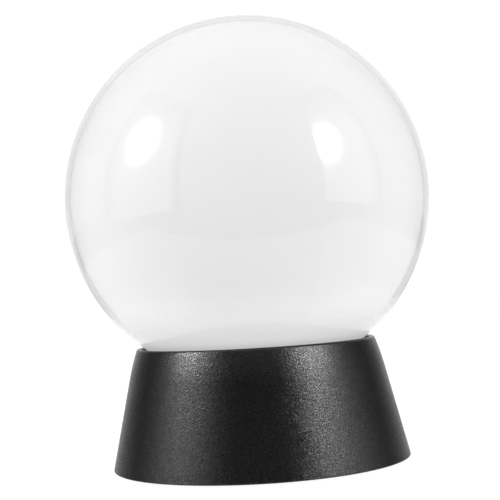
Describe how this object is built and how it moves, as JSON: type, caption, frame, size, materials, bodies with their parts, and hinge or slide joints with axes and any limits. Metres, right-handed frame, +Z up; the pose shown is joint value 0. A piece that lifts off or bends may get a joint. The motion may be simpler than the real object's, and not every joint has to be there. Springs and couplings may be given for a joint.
{
  "type": "crystal ball",
  "caption": "Free-standing fortune teller's crystal ball: a milky glossy globe on a tapered black base that holds its lamp and batteries.",
  "frame": {"origin": "middle of the plane that the rubber feet stand on", "axes": "+Z up through the globe, the front of the base faces -Y, the battery door's screw is towards +X"},
  "size_m": [0.14, 0.14, 0.1721],
  "materials": {
    "globe_clear": "clear, smooth and glossy",
    "opal_white": "milky translucent white",
    "collar_black": "moulded black, semi-gloss",
    "housing_black": "spark-eroded black grain with a smooth rim",
    "foam_black": "closed-cell foam",
    "reflector_white": "moulded white",
    "screw_steel": "zinc plated",
    "screw_black": "black zinc",
    "board_green": "green solder mask",
    "lamp_clear": "clear epoxy",
    "chip_black": "moulded epoxy",
    "resistor_black": "chip resistor",
    "capacitor_sleeve": "shrink sleeve",
    "plate_black": "fine moulded grain",
    "foot_rubber": "soft rubber",
    "cell_jacket": "printed cell jacket",
    "spring_steel": "nickel-plated spring wire",
    "contact_nickel": "nickel-plated strip",
    "door_black": "fine moulded grain",
    "retainer_nylon": "natural nylon",
    "switch_metal": "tinned steel can",
    "slider_black": "moulded black",
    "wire_red": "vinyl insulation",
    "wire_black": "vinyl insulation"
  },
  "bodies": {
    "base": {"base_housing": "housing_black", "seat_gasket": "foam_black", "light_deck": "reflector_white", "light_deck_screws": "screw_steel", "led_board": "board_green", "led_board_screws": "screw_steel", "leds": "lamp_clear", "driver_chip": "chip_black", "board_resistors": "resistor_black", "board_capacitor": "capacitor_sleeve", "bottom_plate": "plate_black", "bottom_plate_screws": "screw_black", "rubber_feet": "foot_rubber", "battery_cells": "cell_jacket", "contact_springs": "spring_steel", "link_plates": "contact_nickel", "terminal_plates": "contact_nickel", "switch_housing": "switch_metal", "switch_screws": "screw_steel", "lead_red": "wire_red", "lead_black": "wire_black", "lead_switch": "wire_black"},
    "globe": {"globe_shell": "globe_clear", "opal_liner": "opal_white", "globe_collar": "collar_black"},
    "battery_door": {"battery_door": "door_black", "door_pad": "foam_black"},
    "door_screw": {"door_screw": "screw_steel", "screw_retainer": "retainer_nylon"},
    "switch_slide": {"switch_slider": "slider_black"}
  },
  "joints": [
    {"name": "globe_twist", "type": "hinge", "parent": "base", "child": "globe", "pos_m": [0, 0, 0.036], "axis": [0, 0, 1], "range_deg": [0, 45]},
    {"name": "battery_door_hinge", "type": "hinge", "parent": "base", "child": "battery_door", "pos_m": [-0.03, 0, 0.0036], "axis": [0, 1, 0], "range_deg": [0, 90]},
    {"name": "door_screw_turn", "type": "hinge", "parent": "battery_door", "child": "door_screw", "pos_m": [0.0305, 0, 0.005], "axis": [0, 0, 1], "continuous": true},
    {"name": "switch_slide", "type": "slide", "parent": "base", "child": "switch_slide", "axis": [1, 0, 0], "range_m": [0, 0.004]}
  ]
}
